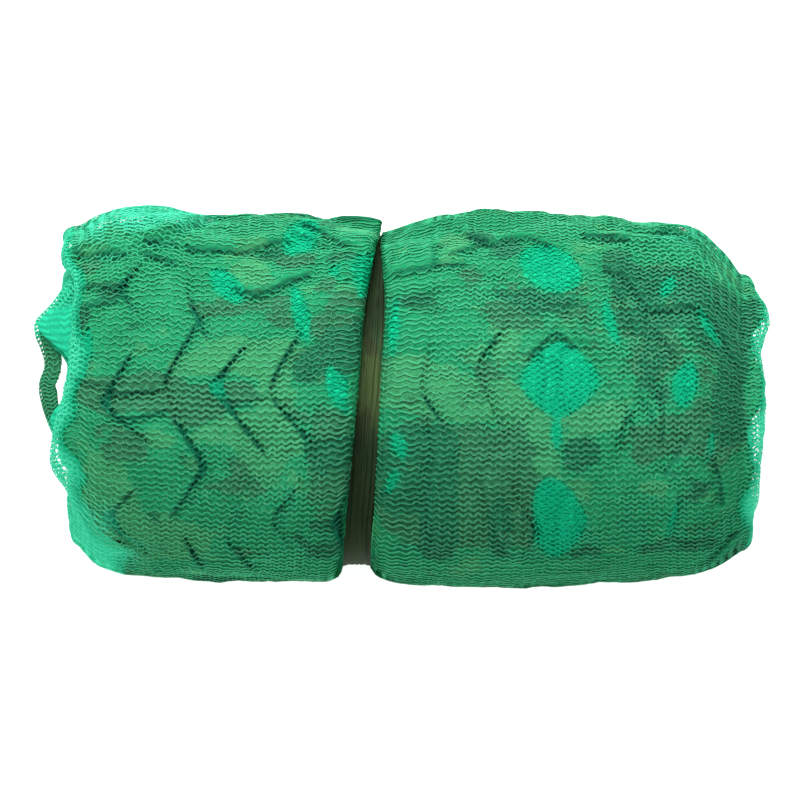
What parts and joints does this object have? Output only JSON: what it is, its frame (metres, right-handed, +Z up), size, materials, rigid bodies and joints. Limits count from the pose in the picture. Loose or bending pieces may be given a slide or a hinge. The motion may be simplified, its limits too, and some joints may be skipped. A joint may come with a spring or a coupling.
{
  "type": "camouflage netting",
  "caption": "Camouflage netting of printed cloth with leaf cuts between two knitted nets, folded to a strip, rolled up and drawn in round its middle by a tie of the same cloth.",
  "frame": {"origin": "centre of the footprint on the surface that the roll lies on", "axes": "+X along the roll, from the end with the large fold loop to the other end; +Y across it, towards the side where the strip's free end lies; +Z up, out of its broad face"},
  "size_m": [0.5178, 0.2668, 0.1935],
  "materials": {
    "netting": "green knitted netting over a woodland camouflage print, matt with a slight sheen on the threads",
    "tie_cloth": "olive and brown printed cloth, matt"
  },
  "bodies": {
    "root": {"rolled_netting": "netting", "tie_band": "tie_cloth"}
  },
  "joints": []
}
